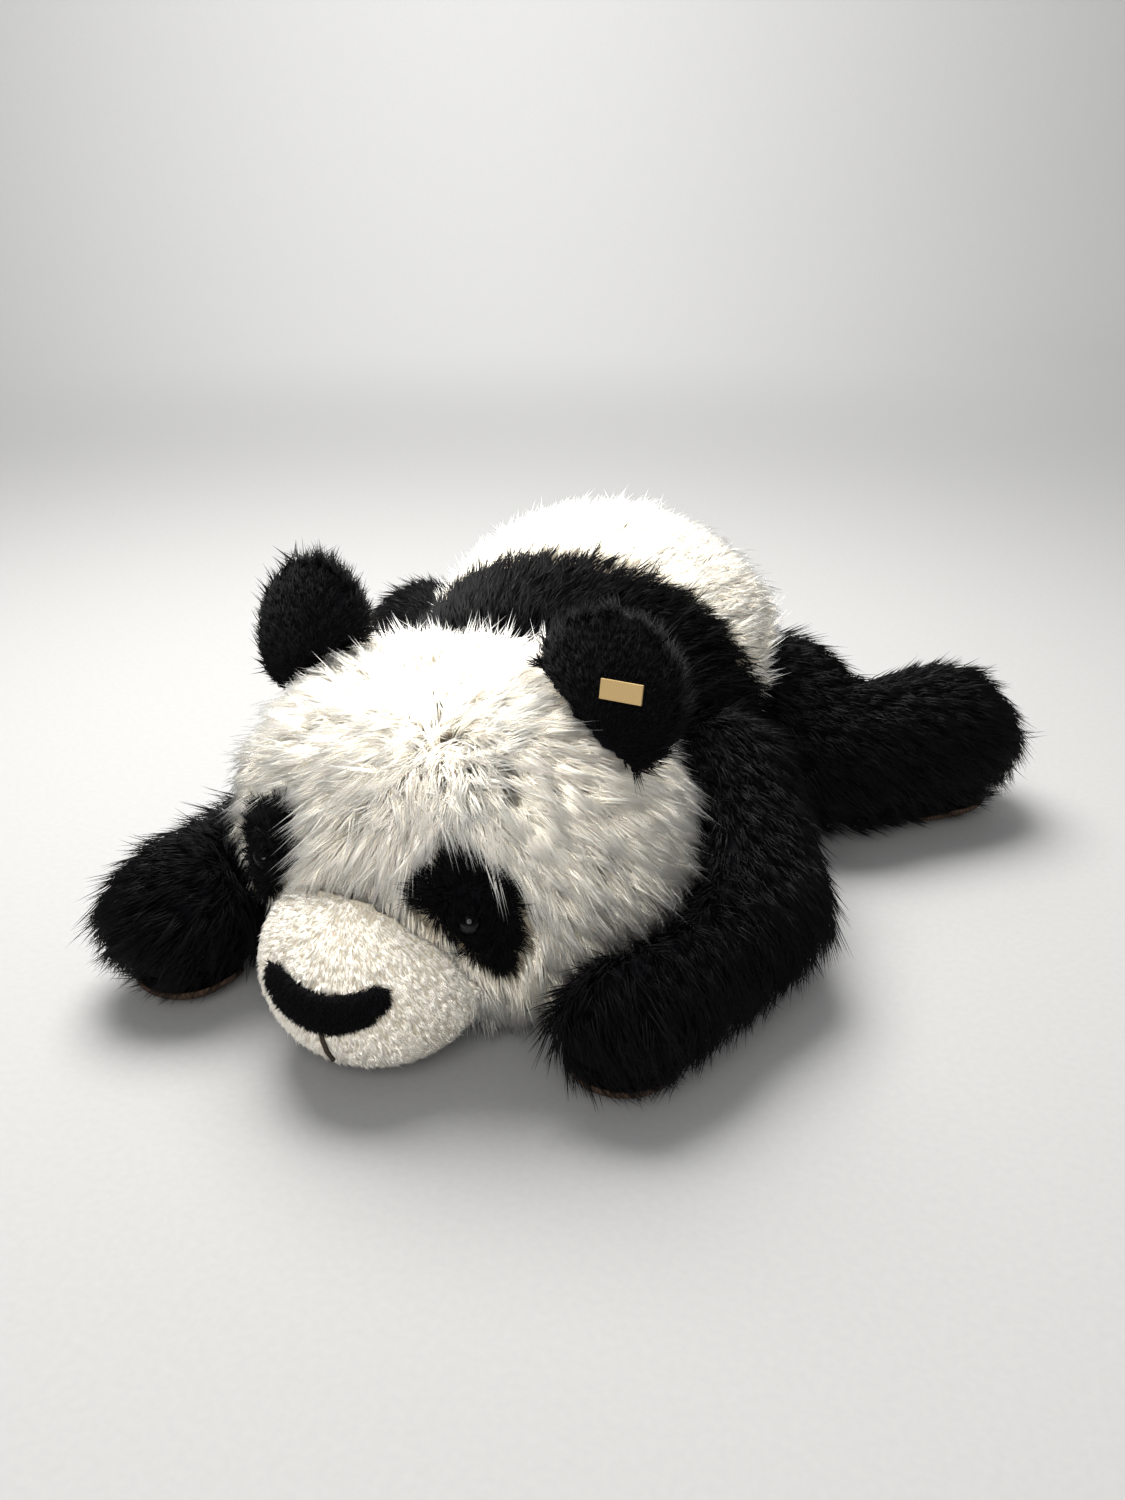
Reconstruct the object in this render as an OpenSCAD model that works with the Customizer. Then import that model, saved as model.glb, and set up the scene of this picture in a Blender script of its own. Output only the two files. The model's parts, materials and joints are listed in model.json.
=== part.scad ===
// Plush panda that lies on its belly with its legs spread and its chin on the ground.
// Panels of pile fabric are sewn into covers, and each cover holds loose fibre filling.
// +X is the panda's left, +Y its rear, +Z up. The origin is under the middle of its outer box.

/* [Fabric and fits] */
// Thickness of a cover: backing cloth and the dense foot of its pile
cover_t = 5; // [4:0.5:7]
// Gap between a cover and the filling inside it
fill_gap = 0.4; // [0.3:0.1:1]
// Clear space between pieces that move against each other
joint_gap = 2.5; // [2:0.5:4]
// How far a soft body settles flat where it lies on the ground
floor_sink = 3; // [2:1:6]

/* [Torso] */
// Diameter of the round chest that the head turns on
chest_d = 190; // [156:1:232]
// Width of the rump
rump_w = 230; // [190:1:280]
// Length of the rump from front to rear
rump_l = 200; // [165:1:240]
// Height of the rump
rump_h = 202; // [165:1:240]
// Distance from the middle of the chest back to the middle of the rump
torso_reach = 110; // [90:1:135]
// How far the rump lies to the panda's right of the chest
rump_shift = 12; // [0:1:20]
// Distance behind the chest's middle where the black band ends, at half the chest's height
band_back = 78; // [62:1:96]
// Lean of the seam behind the band, forward at the top
band_lean = 24; // [0:1:30]
// Slant of that seam, further back on the panda's left
band_slant = 10; // [0:1:14]
// Width of the flat belly panel
belly_w = 64; // [50:1:76]
// Length of the flat belly panel
belly_l = 150; // [120:1:180]

/* [Head] */
// Width of the head at the cheeks
head_w = 240; // [195:1:290]
// Length of the head from brow to nape
head_l = 200; // [165:1:240]
// Height of the head
head_h = 184; // [150:1:220]
// Nose-down tilt of the head
head_tilt = 15; // [5:1:20]
// Turn of the head towards the panda's right
head_yaw = 4; // [0:1:6]
// Distance from the middle of the chest forward to the middle of the head
head_reach = 103; // [95:1:120]
// Width of the top panel of the head
crown_w = 84; // [60:1:110]

/* [Muzzle] */
// Width of the muzzle
muzzle_w = 122; // [100:1:147]
// Length of the muzzle
muzzle_l = 114; // [94:1:137]
// Height of the muzzle
muzzle_h = 104; // [86:1:125]
// Nose-down tilt of the muzzle
muzzle_tilt = 20; // [10:1:25]
// Distance from the middle of the head forward to the middle of the muzzle
muzzle_reach = 77; // [68:1:88]
// Width of the nose patch's curved stroke
nose_w = 19; // [15:1:23]
// Diameter of the plastic eye
eye_d = 12; // [9:0.5:15]

/* [Ears] */
// Width of an ear
ear_w = 79; // [66:1:95]
// Height of an ear above its root
ear_h = 76; // [63:1:92]
// Thickness of an ear
ear_t = 28; // [22:1:34]
// Distance between the middles of the two ears
ear_span = 168; // [140:1:182]

/* [Forelegs] */
// Diameter of the shoulder
shoulder_d = 104; // [86:1:120]
// Diameter of the elbow
elbow_d = 92; // [76:1:108]
// Diameter of the paw
paw_d = 86; // [70:1:100]
// Distance from shoulder to elbow
upper_leg_l = 82; // [68:1:98]
// Distance from elbow to paw
lower_leg_l = 102; // [85:1:122]

/* [Hind legs] */
// Diameter of the hip
hip_d = 110; // [92:1:126]
// Diameter of the knee
knee_d = 96; // [80:1:115]
// Diameter of the foot
foot_d = 104; // [86:1:125]
// Distance from hip to knee
thigh_l = 52; // [42:1:62]
// Distance from knee to foot
shin_l = 90; // [75:1:108]

/* [Tail] */
// Diameter of the tail
tail_d = 34; // [26:1:44]
// Length of the tail beyond its root
tail_l = 24; // [18:1:32]

/* [Hidden] */

LEFT = 1;
RIGHT = -1;
FAR = 1000;           // larger than the whole panda, for half-space cuts
BIG_FN = 28;          // facets round the chest and rump
EGG_FN = 24;          // facets round the head and muzzle
LEG_FN = 18;          // facets round a leg
SMALL_FN = 14;        // facets round small soft pieces
EXACT_FN = 48;        // facets round the plastic eyes

seam_gap = 0.2;       // between a panel and the opening that it is sewn into

white = "ivory";
cream = "cornsilk";
black = "#1c1c22";
fibre = "whitesmoke";

// ---- Places, measured from the middle of the chest, on the ground ----

// Half the height of an egg of this length and height, tipped nose down
function half_height(l, h, tilt) =
    sqrt(pow(l / 2 * sin(tilt), 2) + pow(h / 2 * cos(tilt), 2));
// Half the length of the same tipped egg
function half_length(l, h, tilt) =
    sqrt(pow(l / 2 * cos(tilt), 2) + pow(h / 2 * sin(tilt), 2));
// A point this far from p along a heading, which opens outward from straight ahead
function along(p, side, reach, heading) =
    [p.x + side * reach * sin(heading), p.y - reach * cos(heading), p.z];
function at_height(p, z) = [p.x, p.y, z];
// The left one or the right one of a pair of values
function pick(side, pair) = side == LEFT ? pair[0] : pair[1];
function turned(p, a) = [p.x * cos(a) - p.y * sin(a), p.x * sin(a) + p.y * cos(a), p.z];

chest_at = [0, 0, chest_d / 2 - floor_sink];
rump_at = [-rump_shift, torso_reach, rump_h / 2 - floor_sink];
head_at = [0, -head_reach, half_height(head_l, head_h, head_tilt) - floor_sink];
muzzle_from_head = [0, -muzzle_reach,
    half_height(muzzle_l, muzzle_h, muzzle_tilt) - floor_sink - head_at.z];
muzzle_turn = 8;      // the muzzle faces a little to the panda's left of the head

band_front = chest_d / 4;       // the band begins this far ahead of the chest's middle
neck_back = chest_d / 3;        // the neck cover ends this far ahead of it
turn_range = [-4, 4];
nod_range = [0, 16];
swing_range = [0, 25];
lift_range = [0, 10, 20];       // with a middle step, because the leg sweeps a curve
ear_range = [-12, 18];
tail_range = [-10, 20];

shoulder_out = 1;               // a shoulder's middle lies this far outside the chest's side
shoulder_back = [11, 0];        // and this far behind its middle, with the right foreleg reaching forward
shoulder_drop = 22;             // and this far below it
hip_in = 12;                    // a hip's middle lies this far inside the rump's side
hip_back = 35;                  // and this far behind and below the rump's middle
hip_drop = 32;
elbow_heading = [33, 7];        // left foreleg bent, right foreleg stretched out
paw_in = 7;                     // the bent foreleg's paw lies this far inside the head's side
elbow_out = chest_d / 2 + shoulder_out + upper_leg_l * sin(elbow_heading[0]);
paw_heading = [asin((head_w / 2 - paw_in - elbow_out) / lower_leg_l), 9];
knee_heading = 58;
knee_lift = 5;                  // a knee stands this far off the ground, and elbows and paws lie on it
foot_heading = [140, 155];
function shoulder_at(side) =
    [side * (chest_d / 2 + shoulder_out), pick(side, shoulder_back), chest_at.z - shoulder_drop];
function hip_at(side) =
    rump_at + [side * (rump_w / 2 - hip_in), hip_back, -hip_drop];
function lying(d) = d / 2 - floor_sink;
function foreleg_path(side) =
    let (s = shoulder_at(side),
         e = along(s, side, upper_leg_l, pick(side, elbow_heading)),
         p = along(e, side, lower_leg_l, pick(side, paw_heading)))
    [[s, shoulder_d], [at_height(e, lying(elbow_d)), elbow_d], [at_height(p, lying(paw_d)), paw_d]];
function hind_leg_path(side) =
    let (h = hip_at(side),
         k = along(h, side, thigh_l, knee_heading),
         f = along(k, side, shin_l, pick(side, foot_heading)))
    [[h, hip_d], [at_height(k, lying(knee_d) + knee_lift), knee_d], [at_height(f, lying(foot_d)), foot_d]];
tail_sink = 4;                  // the tail's root lies this far inside the rump's rear
tail_drop = 36;                 // and this far below the rump's middle
tail_dip = 12;                  // the tail hangs down this far along its length
tail_neck = 6;                  // the root is this much thinner than the tail
tail_root = rump_at + [0, rump_l / 2 - tail_sink, -tail_drop];
tail_path = [[tail_root, tail_d - tail_neck], [tail_root + [0, tail_l, -tail_dip], tail_d]];

// The outer box, which puts the origin under its middle
muzzle_at = head_at + turned(muzzle_from_head, -head_yaw);
front_y = muzzle_at.y - half_length(muzzle_l, muzzle_h, muzzle_tilt);
foot_left = hind_leg_path(LEFT)[2][0];
foot_right = hind_leg_path(RIGHT)[2][0];
rear_y = max(foot_left.y, foot_right.y) + foot_d / 2;
middle = [(foot_left.x + foot_right.x) / 2, (front_y + rear_y) / 2, 0];

// ---- Soft shapes ----

module above(z) {
    intersection() {
        children();
        translate([-FAR / 2, -FAR / 2, z]) cube([FAR, FAR, FAR]);
    }
}
module ball(d, grow, fn) {
    sphere(d = d + 2 * grow, $fn = fn);
}
// An egg of this width, length and height, made larger all round by grow
module egg(size, grow, fn) {
    hull() scale((size + 2 * grow * [1, 1, 1]) / 2) sphere(r = 1, $fn = fn);
}
// A chain of balls joined up into a limb
module limb(path, grow) {
    for (i = [0 : len(path) - 2])
        hull() {
            translate(path[i][0]) ball(path[i][1], grow, LEG_FN);
            translate(path[i + 1][0]) ball(path[i + 1][1], grow, LEG_FN);
        }
}
module torso_shape(grow) {
    above(-grow) hull() {
        translate(chest_at) ball(chest_d, grow, BIG_FN);
        translate(rump_at) egg([rump_w, rump_l, rump_h], grow, BIG_FN);
    }
}
module in_head() {
    translate(head_at) rotate([0, 0, -head_yaw]) children();
}
module in_muzzle() {
    in_head() translate(muzzle_from_head) rotate([muzzle_tilt, 0, muzzle_turn]) children();
}
module skull_shape(grow, fn = EGG_FN) {
    above(-grow) in_head() rotate([head_tilt, 0, 0]) egg([head_w, head_l, head_h], grow, fn);
}
module muzzle_shape(grow, fn = EGG_FN) {
    above(-grow) in_muzzle() egg([muzzle_w, muzzle_l, muzzle_h], grow, fn);
}
module about(p, turn, axis) {
    translate(p) rotate(a = turn, v = axis) translate(-p) children();
}
// Everywhere that the head passes as it turns and nods on the chest
module head_sweep(grow) {
    for (turn = [turn_range[0], 0, turn_range[1]])
        for (nod = nod_range)
            about(chest_at, turn, [0, 0, 1]) about(chest_at, -nod, [1, 0, 0]) {
                skull_shape(grow);
                muzzle_shape(grow);
            }
}
function lift_axis(side) =
    let (d = hind_leg_path(side)[2][0] - hip_at(side))
    [d.y, -d.x, 0] / norm([d.x, d.y]);

// ---- Torso ----

module shoulder_pockets() {
    for (side = [LEFT, RIGHT])
        translate(shoulder_at(side)) ball(shoulder_d, joint_gap, LEG_FN);
}
module hip_pockets() {
    for (side = [LEFT, RIGHT])
        translate(hip_at(side)) ball(hip_d, joint_gap, LEG_FN);
}
module tail_pocket() {
    translate(tail_root) ball(tail_d - tail_neck, joint_gap, SMALL_FN);
}
belly_past = 11;      // the belly panel reaches this far behind the band's seam
band_foot = band_back + chest_at.z * tan(band_lean);
belly_at = [0, band_foot + belly_past - belly_l / 2, 0];
// A long outline with round ends, made larger all round by grow
module belly_outline(grow) {
    straight = belly_l - belly_w;
    w = belly_w + 2 * grow;
    translate(belly_at) {
        for (end = [-1, 1])
            translate([0, end * straight / 2]) circle(d = w, $fn = EXACT_FN);
        square([w, straight], center = true);
    }
}
module torso_cover() {
    difference() {
        torso_shape(0);
        torso_shape(-cover_t);
        shoulder_pockets();
        hip_pockets();
        tail_pocket();
        translate([0, 0, -1]) linear_extrude(cover_t + 2) belly_outline(seam_gap);
    }
}
// Everything behind the leaning and slanting seam at the back of the black band
module behind_band() {
    translate([0, band_back, chest_at.z]) rotate([band_lean, 0, band_slant])
        translate([-FAR / 2, 0, -FAR / 2]) cube(FAR);
}
module shoulder_band_cover() {
    color(black) difference() {
        torso_cover();
        behind_band();
        translate([-FAR / 2, -FAR - band_front, -1]) cube(FAR);
    }
}
module rump_cover(side) {
    color(white) intersection() {
        torso_cover();
        behind_band();
        translate([pick(side, [0, -FAR]) + rump_at.x, -FAR / 2, -1]) cube(FAR);
    }
}
module belly_panel() {
    color(black) linear_extrude(cover_t) belly_outline(0);
}
module torso_filling() {
    color(fibre) difference() {
        torso_shape(-cover_t - fill_gap);
        shoulder_pockets();
        hip_pockets();
        tail_pocket();
    }
}
// A cap of cloth over the front of the chest, which the head is sewn to
module neck_cover() {
    color(black) difference() {
        translate(chest_at) sphere(d = chest_d, $fn = BIG_FN);
        translate(chest_at) sphere(d = chest_d - 2 * (cover_t - seam_gap), $fn = BIG_FN);
        translate([-FAR / 2, -neck_back, -FAR / 2]) cube(FAR);
    }
}

// ---- Head ----

// Room for the chest and the neck cover inside the back of the head, level and nodded up
module neck_socket() {
    for (nod = nod_range)
        about(chest_at, nod, [1, 0, 0]) torso_shape(joint_gap);
}
// Room for the shoulders at every turn and nod of the head
module shoulder_relief() {
    for (turn = turn_range)
        for (nod = nod_range)
            about(chest_at, nod, [1, 0, 0]) about(chest_at, -turn, [0, 0, 1]) shoulder_pockets();
}
// A point of the skull's surface by its angle from straight ahead and its angle above the middle
function on_egg(size, az, el) =
    [size.x / 2 * cos(el) * sin(az), -size.y / 2 * cos(el) * cos(az), size.z / 2 * sin(el)];
skull_size = [head_w, head_l, head_h];
muzzle_size = [muzzle_w, muzzle_l, muzzle_h];
patch_corners = [[21, 24], [30, 31], [40, 22], [36, -1]];
patch_edge = 14;      // diameter of the patch's rounded corners
eye_angles = [31, 14];
module eye_patch_region(side) {
    in_head() rotate([head_tilt, 0, 0]) hull()
        for (c = patch_corners)
            translate(on_egg(skull_size, side * c[0], c[1])) ball(patch_edge, 0, SMALL_FN);
}
nose_turns = [-32, -20, -7, 7, 20, 32];
nose_low = 25;        // the nose's stroke is lowest at its middle, this many degrees up the muzzle
nose_curl = 8;        // and its ends curl up by this much more
nose_thin = 0.6;      // and are thinner than its middle by this share
function nose_rise(az) = nose_low + nose_curl * pow(az / nose_turns[5], 2);
function nose_thick(az) = nose_w * (1 - (1 - nose_thin) * pow(az / nose_turns[5], 2));
module nose_region() {
    in_muzzle()
        for (i = [0 : len(nose_turns) - 2])
            hull()
                for (az = [nose_turns[i], nose_turns[i + 1]])
                    translate(on_egg(muzzle_size, az, nose_rise(az))) ball(nose_thick(az), 0, SMALL_FN);
}
stitch_rises = [15, 6, -4, -14];
stitch_d = 2.4;
module stitch_region(grow) {
    in_muzzle()
        for (i = [0 : len(stitch_rises) - 2])
            hull()
                for (el = [stitch_rises[i], stitch_rises[i + 1]])
                    translate(on_egg(muzzle_size, 0, el)) ball(stitch_d, grow, SMALL_FN);
}
eye_sink = 3;         // the eye's middle lies this far under the cloth's surface
// Places the eye's own axis, +Z outward, square to the skull
module at_eye(side) {
    p = on_egg(skull_size, side * eye_angles[0], eye_angles[1]);
    in_head() rotate([head_tilt, 0, 0]) translate(p)
        rotate([0, 90 - eye_angles[1], side * eye_angles[0] - 90])
        translate([0, 0, -eye_sink]) children();
}
stem_d = 4;
stem_l = 12;
eye_gap = 0.2;        // round the eye and its stem where they pass through the cloth
washer_t = 1.6;
module skull_cover() {
    difference() {
        skull_shape(0);
        skull_shape(-cover_t);
        muzzle_shape(0);
        neck_socket();
        shoulder_relief();
        for (side = [LEFT, RIGHT])
            eye_patch_region(side);
    }
}
module beside(x) {
    in_head() translate([x > 0 ? x : x - FAR, -FAR / 2, -FAR / 2]) cube(FAR);
}
chin_drop = head_h * 0.34;      // the chin panel's seam lies this far below the skull's middle
// Everything under the chin's seam, and the hidden cloth behind the lower half of the muzzle
module chin_region() {
    translate([-FAR / 2, -FAR / 2, head_at.z - chin_drop - FAR]) cube(FAR);
    in_head() translate([-crown_w / 2, -FAR, muzzle_from_head.z - FAR]) cube([crown_w, 2 * FAR, FAR]);
}
module crown_cover() {
    color(white) difference() {
        skull_cover();
        beside(crown_w / 2);
        beside(-crown_w / 2);
        chin_region();
    }
}
module cheek_cover(side) {
    color(white) difference() {
        intersection() {
            skull_cover();
            beside(side * crown_w / 2);
        }
        chin_region();
    }
}
module chin_cover() {
    color(white) intersection() {
        skull_cover();
        chin_region();
    }
}
module muzzle_cover() {
    color(cream) difference() {
        muzzle_shape(0);
        muzzle_shape(-cover_t);
        skull_shape(-cover_t);
        nose_region();
        stitch_region(0.1);
    }
}
module nose_patch() {
    color(black) difference() {
        intersection() {
            nose_region();
            muzzle_shape(1);
        }
        muzzle_shape(-cover_t);
        stitch_region(0.1);
    }
}
module mouth_stitch() {
    color("#4a4038") stitch_region(0);
}
module eye_patch(side) {
    color(black) difference() {
        intersection() {
            eye_patch_region(side);
            skull_shape(0);
        }
        skull_shape(-cover_t);
        muzzle_shape(0);
        at_eye(side) cylinder(d = stem_d + 2 * eye_gap, h = 4 * stem_l, center = true, $fn = EXACT_FN);
        at_eye(side) sphere(d = eye_d + 2 * eye_gap, $fn = EXACT_FN);
    }
}
module eye(side) {
    color("#0c0c10") at_eye(side) {
        sphere(d = eye_d, $fn = EXACT_FN);
        translate([0, 0, -stem_l]) cylinder(d = stem_d, h = stem_l, $fn = EXACT_FN);
    }
}
washer_fit = 0.1;     // the washer's hole clears the stem by this much
washer_d = eye_d + stem_d + 2 * washer_fit;
module eye_washer(side) {
    color("white") at_eye(side) translate([0, 0, -eye_d / 2 - washer_t])
        difference() {
            cylinder(d = washer_d, h = washer_t, $fn = EXACT_FN);
            translate([0, 0, -1]) cylinder(d = stem_d + 2 * washer_fit, h = washer_t + 2, $fn = EXACT_FN);
        }
}
eye_room_gap = 1.5;   // the filling leaves this much room round the washer and past the stem's end
module eye_room(side) {
    at_eye(side) translate([0, 0, -stem_l - eye_room_gap])
        cylinder(d = washer_d + 2 * eye_room_gap, h = 2 * stem_l, $fn = EXACT_FN);
}
module head_filling() {
    color(fibre) difference() {
        skull_shape(-cover_t - fill_gap);
        neck_socket();
        shoulder_relief();
        for (side = [LEFT, RIGHT])
            eye_room(side);
    }
}
module muzzle_filling() {
    color(fibre) difference() {
        muzzle_shape(-cover_t - fill_gap);
        skull_shape(-cover_t);
    }
}

// ---- Ears ----

// Height of the skull's top above its middle, beside and behind that middle
function skull_rise(x, y) =
    head_h / 2 * sqrt(1 - pow(x / (head_w / 2), 2) - pow(y / (head_l / 2), 2));
ear_forward = 14;                        // the ears' roots lie this far ahead of the skull's middle
ear_sink = 18;                           // and this far below its surface
ear_lean = 12;                           // the ears lean back
ear_splay = 3;                          // and face a little outward
ear_root_l = 6;                          // the ear's egg reaches this much further down, into its root
function ear_root(side) =
    [side * ear_span / 2, -ear_forward, skull_rise(ear_span / 2, ear_forward) - ear_sink];
function ear_pivot(side) = head_at + turned(ear_root(side), -head_yaw);
ear_axis = [-1, 0, 0];
module in_ear(side) {
    in_head() translate(ear_root(side)) rotate([-ear_lean, 0, side * ear_splay]) children();
}
module ear_half(side, front) {
    difference() {
        in_ear(side) translate([0, 0, ear_h / 2]) egg([ear_w, ear_t, ear_h + ear_root_l], 0, LEG_FN);
        for (fold = [ear_range[0], 0, ear_range[1]])
            about(ear_pivot(side), -fold, ear_axis) skull_shape(joint_gap, LEG_FN);
        in_ear(side) translate([-FAR / 2, front ? 0 : -FAR, -FAR / 2]) cube(FAR);
    }
}
module ear_front(side) {
    color(black) ear_half(side, true);
}
module ear_back(side) {
    color(black) ear_half(side, false);
}
tag_size = [20, 1.2, 9];
tag_rise = 41;                           // the tape lies this far above the ear's root
tag_out = 14;                            // and its middle is this far out from the ear's middle
// A folded end of plain cotton tape, caught in the left ear's front
module ear_tag() {
    color("wheat") in_ear(LEFT)
        translate([tag_out - tag_size.x / 2, -ear_t / 2 - tag_size.y - seam_gap, tag_rise]) cube(tag_size);
}

// ---- Legs ----

module foreleg_shape(side, grow) {
    path = foreleg_path(side);
    above(-grow) {
        translate(path[0][0]) ball(shoulder_d, grow, LEG_FN);
        difference() {
            limb(path, grow);
            for (swing = swing_range)
                about(shoulder_at(side), -side * swing, [0, 0, 1]) torso_shape(joint_gap - grow);
            head_sweep(joint_gap - grow);
        }
    }
}
module hind_leg_shape(side, grow) {
    path = hind_leg_path(side);
    above(-grow) {
        translate(path[0][0]) ball(hip_d, grow, LEG_FN);
        difference() {
            limb(path, grow);
            for (lift = lift_range)
                about(hip_at(side), -lift, lift_axis(side)) torso_shape(joint_gap - grow);
        }
    }
}
pad_share = 0.66;     // a pad covers this much of its paw's width
pad_rise = 20;        // and its edge is cut at this height
module pad_region(path) {
    end = path[len(path) - 1];
    translate([end[0].x, end[0].y, -1]) cylinder(d = end[1] * pad_share, h = pad_rise, $fn = LEG_FN);
}
// The slab of space above the seam that joins a leg's top and under panels
module over_seam(path) {
    translate([-FAR / 2, -FAR / 2, path[1][0].z]) cube(FAR);
}
module foreleg_cover(side) {
    difference() {
        foreleg_shape(side, 0);
        foreleg_shape(side, -cover_t);
    }
}
module foreleg_top(side) {
    color(black) intersection() {
        foreleg_cover(side);
        over_seam(foreleg_path(side));
    }
}
module foreleg_under(side) {
    color(black) difference() {
        foreleg_cover(side);
        over_seam(foreleg_path(side));
        pad_region(foreleg_path(side));
    }
}
module paw_pad(side) {
    color("#3a332f") intersection() {
        foreleg_cover(side);
        pad_region(foreleg_path(side));
    }
}
module foreleg_filling(side) {
    color(fibre) foreleg_shape(side, -cover_t - fill_gap);
}
module hind_leg_cover(side) {
    difference() {
        hind_leg_shape(side, 0);
        hind_leg_shape(side, -cover_t);
    }
}
module hind_leg_top(side) {
    color(black) intersection() {
        hind_leg_cover(side);
        over_seam(hind_leg_path(side));
    }
}
module hind_leg_under(side) {
    color(black) difference() {
        hind_leg_cover(side);
        over_seam(hind_leg_path(side));
        pad_region(hind_leg_path(side));
    }
}
module foot_pad(side) {
    color("#3a332f") intersection() {
        hind_leg_cover(side);
        pad_region(hind_leg_path(side));
    }
}
module hind_leg_filling(side) {
    color(fibre) hind_leg_shape(side, -cover_t - fill_gap);
}

// ---- Tail ----

module tail_shape(grow) {
    translate(tail_root) ball(tail_d - tail_neck, grow, SMALL_FN);
    difference() {
        hull()
            for (p = tail_path)
                translate(p[0]) ball(p[1], grow, SMALL_FN);
        for (lift = tail_range)
            about(tail_root, -lift, [1, 0, 0]) torso_shape(joint_gap - grow);
    }
}
// The cover is open at its root, where it is sewn round the tail's own filling
module tail_cover() {
    color(white) difference() {
        tail_shape(0);
        tail_shape(-cover_t);
        translate([-FAR / 2, tail_root.y - FAR, -FAR / 2]) cube(FAR);
    }
}
module tail_filling() {
    color(fibre) tail_shape(-cover_t - fill_gap);
}

module placed() {
    translate(-middle) children();
}

placed() torso_filling();
placed() shoulder_band_cover();
placed() rump_cover(LEFT);  // rump_cover_left
placed() rump_cover(RIGHT);  // rump_cover_right
placed() belly_panel();
placed() neck_cover();
placed() head_filling();
placed() muzzle_filling();
placed() crown_cover();
placed() cheek_cover(LEFT);  // cheek_cover_left
placed() cheek_cover(RIGHT);  // cheek_cover_right
placed() chin_cover();
placed() muzzle_cover();
placed() nose_patch();
placed() mouth_stitch();
placed() eye_patch(LEFT);  // eye_patch_left
placed() eye_patch(RIGHT);  // eye_patch_right
placed() eye(LEFT);  // eye_left
placed() eye(RIGHT);  // eye_right
placed() eye_washer(LEFT);  // eye_washer_left
placed() eye_washer(RIGHT);  // eye_washer_right
placed() ear_front(LEFT);  // ear_front_left
placed() ear_front(RIGHT);  // ear_front_right
placed() ear_back(LEFT);  // ear_back_left
placed() ear_back(RIGHT);  // ear_back_right
placed() ear_tag();
placed() foreleg_top(LEFT);  // foreleg_top_left
placed() foreleg_top(RIGHT);  // foreleg_top_right
placed() foreleg_under(LEFT);  // foreleg_under_left
placed() foreleg_under(RIGHT);  // foreleg_under_right
placed() paw_pad(LEFT);  // paw_pad_left
placed() paw_pad(RIGHT);  // paw_pad_right
placed() foreleg_filling(LEFT);  // foreleg_filling_left
placed() foreleg_filling(RIGHT);  // foreleg_filling_right
placed() hind_leg_top(LEFT);  // hind_leg_top_left
placed() hind_leg_top(RIGHT);  // hind_leg_top_right
placed() hind_leg_under(LEFT);  // hind_leg_under_left
placed() hind_leg_under(RIGHT);  // hind_leg_under_right
placed() foot_pad(LEFT);  // foot_pad_left
placed() foot_pad(RIGHT);  // foot_pad_right
placed() hind_leg_filling(LEFT);  // hind_leg_filling_left
placed() hind_leg_filling(RIGHT);  // hind_leg_filling_right
placed() tail_cover();
placed() tail_filling();
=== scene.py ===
import json
import math

import bmesh
import bpy
import numpy as np
from mathutils import Euler, Matrix, Vector
from mathutils.bvhtree import BVHTree


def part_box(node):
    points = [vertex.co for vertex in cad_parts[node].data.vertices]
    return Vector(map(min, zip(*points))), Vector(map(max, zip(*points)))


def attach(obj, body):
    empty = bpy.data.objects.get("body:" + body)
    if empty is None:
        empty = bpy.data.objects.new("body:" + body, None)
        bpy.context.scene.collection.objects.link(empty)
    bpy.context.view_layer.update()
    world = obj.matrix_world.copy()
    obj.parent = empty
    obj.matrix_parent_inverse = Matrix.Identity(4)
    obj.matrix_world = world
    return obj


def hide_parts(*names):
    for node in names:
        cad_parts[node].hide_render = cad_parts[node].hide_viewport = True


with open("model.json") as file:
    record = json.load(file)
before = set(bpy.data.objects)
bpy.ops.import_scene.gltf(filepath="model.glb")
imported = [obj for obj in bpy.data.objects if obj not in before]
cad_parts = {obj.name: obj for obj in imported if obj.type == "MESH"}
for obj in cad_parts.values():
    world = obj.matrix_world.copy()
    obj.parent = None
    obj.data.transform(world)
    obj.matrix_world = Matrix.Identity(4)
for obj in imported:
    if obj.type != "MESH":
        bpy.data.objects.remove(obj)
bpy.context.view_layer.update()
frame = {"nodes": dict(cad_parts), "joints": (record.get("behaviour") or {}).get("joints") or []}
scene = bpy.context.scene
joint_place = {joint["name"]: Vector(joint["pos_m"]) for joint in frame["joints"]}
chest = joint_place["head_nod"]

# ---- Camera ----------------------------------------------------------------------------------
# A handheld camera with a slightly wide lens, off the panda's front left and above it.
# It is placed from the chest joint, and its tones are shown plainly, without a film look.

CAMERA_FROM_CHEST = (0.295, -0.614)
CAMERA_RISE = 0.400           # its height above the ground
CAMERA_DOWN = math.radians(25)
CAMERA_ACROSS = math.radians(25)
camera_data = bpy.data.cameras.new("camera")
camera_data.sensor_width = 36
camera_data.lens = 31.13
camera = bpy.data.objects.new("camera", camera_data)
camera.location = (chest.x + CAMERA_FROM_CHEST[0], chest.y + CAMERA_FROM_CHEST[1], CAMERA_RISE)
camera.rotation_euler = (math.pi / 2 - CAMERA_DOWN, 0, CAMERA_ACROSS)
scene.collection.objects.link(camera)
scene.camera = camera
scene.view_settings.view_transform = "Standard"

# ---- Studio ----------------------------------------------------------------------------------
# The panda lies on a wide bowl of matt pale paper, with no edge or horizon from any side.
# A large soft light hangs over it and a little behind, a weaker one fills in from the front, and
# a third one lights the bowl's wall.


def linear(code):
    """An sRGB hex colour as linear red, green, blue and alpha."""
    parts = [int(code[i:i + 2], 16) / 255 for i in (1, 3, 5)]
    return [c / 12.92 if c <= 0.04045 else ((c + 0.055) / 1.055) ** 2.4 for c in parts] + [1.0]


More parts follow.
